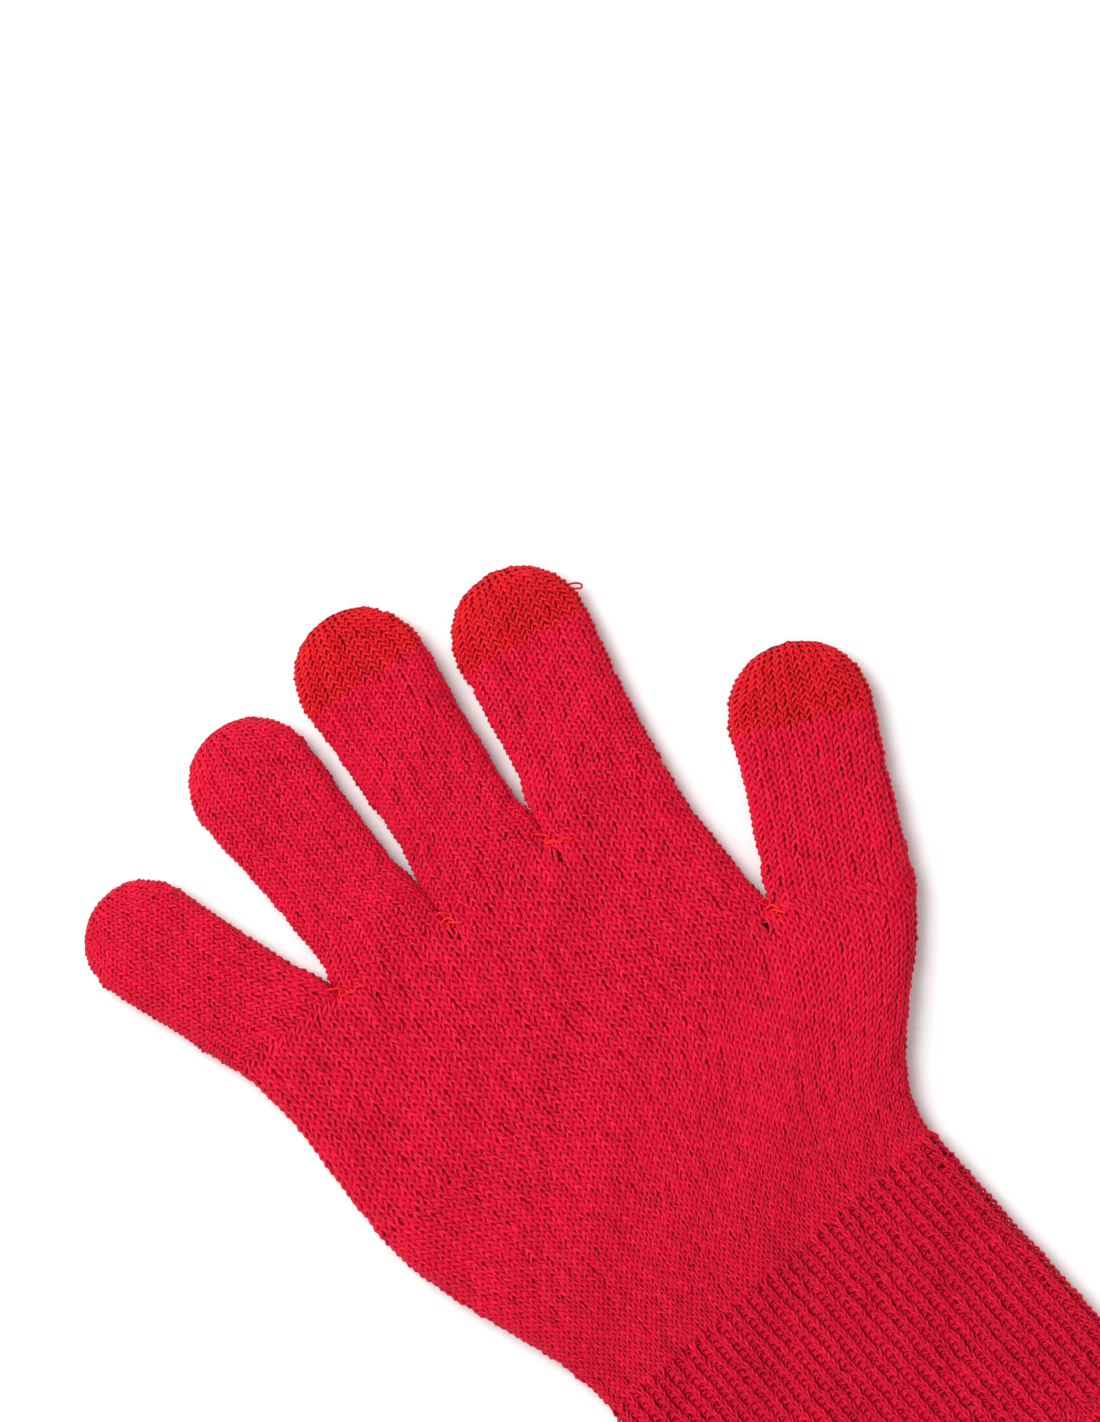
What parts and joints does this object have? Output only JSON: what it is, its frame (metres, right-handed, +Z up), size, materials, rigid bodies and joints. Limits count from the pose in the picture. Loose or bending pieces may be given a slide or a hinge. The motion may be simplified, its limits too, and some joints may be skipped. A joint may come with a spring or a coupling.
{
  "type": "knitted glove",
  "caption": "Knitted stretch glove with a ribbed cuff and touch-screen tips in brighter yarn, hollow for the hand; its fingers, thumb and cuff bend.",
  "frame": {"origin": "middle of the middle finger's root, on the surface that the glove lies on", "axes": "+Y from the wrist to the fingertips, +X towards the thumb, +Z up out of the palm"},
  "size_m": [0.1448, 0.2061, 0.0096],
  "materials": {
    "body_yarn": "matt stretch knit in crimson yarn",
    "touch_yarn": "open knit in thinner, brighter red conductive yarn",
    "fork_yarn": "red closing thread",
    "elastic_yarn": "covered elastic thread"
  },
  "bodies": {
    "hand": {"hand_tube": "body_yarn", "fork_stitch_thumb_index": "fork_yarn", "fork_stitch_index_middle": "fork_yarn", "fork_stitch_middle_ring": "fork_yarn", "fork_stitch_ring_little": "fork_yarn"},
    "cuff": {"cuff_rib": "body_yarn", "cuff_elastic": "elastic_yarn", "cuff_edge": "body_yarn"},
    "thumb_lower": {"thumb_base": "body_yarn"},
    "thumb_upper": {"thumb_end": "body_yarn", "thumb_touch_tip": "touch_yarn"},
    "index_lower": {"index_base": "body_yarn"},
    "index_upper": {"index_end": "body_yarn", "index_touch_tip": "touch_yarn"},
    "middle_lower": {"middle_base": "body_yarn"},
    "middle_upper": {"middle_end": "body_yarn", "middle_touch_tip": "touch_yarn"},
    "ring_lower": {"ring_base": "body_yarn"},
    "ring_upper": {"ring_end": "body_yarn", "ring_tip": "body_yarn"},
    "little_lower": {"little_base": "body_yarn"},
    "little_upper": {"little_end": "body_yarn", "little_tip": "body_yarn"}
  },
  "joints": [
    {"name": "wrist_bend", "type": "hinge", "parent": "hand", "child": "cuff", "pos_m": [-0.009, -0.088, 0.0086], "axis": [-1, 0, 0], "range_deg": [0, 70]},
    {"name": "thumb_root_bend", "type": "hinge", "parent": "hand", "child": "thumb_lower", "pos_m": [0.04727, -0.04262, 0.0086], "axis": [0.8788, -0.4772, 0], "range_deg": [0, 90]},
    {"name": "thumb_middle_bend", "type": "hinge", "parent": "thumb_lower", "child": "thumb_upper", "pos_m": [0.05586, -0.0268, 0.0086], "axis": [0.8788, -0.4772, 0], "range_deg": [0, 80]},
    {"name": "index_root_bend", "type": "hinge", "parent": "hand", "child": "index_lower", "pos_m": [0.0253, -0.001, 0.0086], "axis": [1, 0, 0], "range_deg": [0, 80]},
    {"name": "index_middle_bend", "type": "hinge", "parent": "index_lower", "child": "index_upper", "pos_m": [0.02941, 0.0155, 0.0086], "axis": [1, 0, 0], "range_deg": [0, 90]},
    {"name": "middle_root_bend", "type": "hinge", "parent": "hand", "child": "middle_lower", "pos_m": [0, 0.0005, 0.0086], "axis": [1, 0, 0], "range_deg": [0, 80]},
    {"name": "middle_middle_bend", "type": "hinge", "parent": "middle_lower", "child": "middle_upper", "pos_m": [0.00292, 0.0213, 0.0086], "axis": [1, 0, 0], "range_deg": [0, 90]},
    {"name": "ring_root_bend", "type": "hinge", "parent": "hand", "child": "ring_lower", "pos_m": [-0.0237, 0.0025, 0.0086], "axis": [1, 0, 0], "range_deg": [0, 80]},
    {"name": "ring_middle_bend", "type": "hinge", "parent": "ring_lower", "child": "ring_upper", "pos_m": [-0.02288, 0.02198, 0.0086], "axis": [1, 0, 0], "range_deg": [0, 90]},
    {"name": "little_root_bend", "type": "hinge", "parent": "hand", "child": "little_lower", "pos_m": [-0.0478, 0.0045, 0.0086], "axis": [1, 0, 0], "range_deg": [0, 80]},
    {"name": "little_middle_bend", "type": "hinge", "parent": "little_lower", "child": "little_upper", "pos_m": [-0.05194, 0.01892, 0.0086], "axis": [1, 0, 0], "range_deg": [0, 90]}
  ]
}
